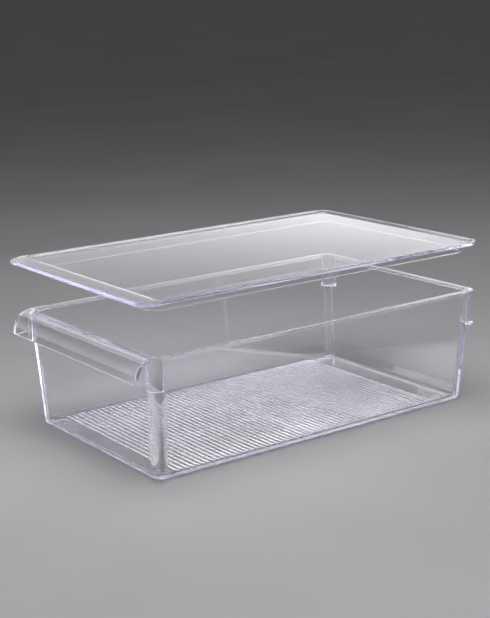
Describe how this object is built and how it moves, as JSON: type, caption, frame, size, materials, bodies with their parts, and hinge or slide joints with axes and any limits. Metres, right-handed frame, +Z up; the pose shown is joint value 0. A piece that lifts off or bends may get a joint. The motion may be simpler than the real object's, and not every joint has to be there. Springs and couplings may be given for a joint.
{
  "type": "deli food pan",
  "caption": "Clear rectangular food storage pan with a ribbed floor, a moulded finger grip, corner lugs, base pads and a lift-off lid with a plug skirt.",
  "frame": {"origin": "on the table, at the middle of the overall length and width", "axes": "+X across the pan to its right, +Y along the pan from the finger grip to the far end, +Z up"},
  "size_m": [0.245, 0.3944, 0.1652],
  "materials": {
    "clear_pan": "clear polished plastic with a faint blue-violet tint",
    "clear_lid": "clear polished plastic with a faint blue-violet tint",
    "soft_pads": "soft matt translucent grey"
  },
  "bodies": {
    "pan": {"pan_body": "clear_pan", "foot_front_left": "soft_pads", "foot_front_right": "soft_pads", "foot_rear_left": "soft_pads", "foot_rear_right": "soft_pads"},
    "lid": {"lid": "clear_lid"}
  },
  "joints": [
    {"name": "lid_lift", "type": "slide", "parent": "pan", "child": "lid", "axis": [0, 0, 1], "range_m": [-0.0463, 0.06]}
  ]
}
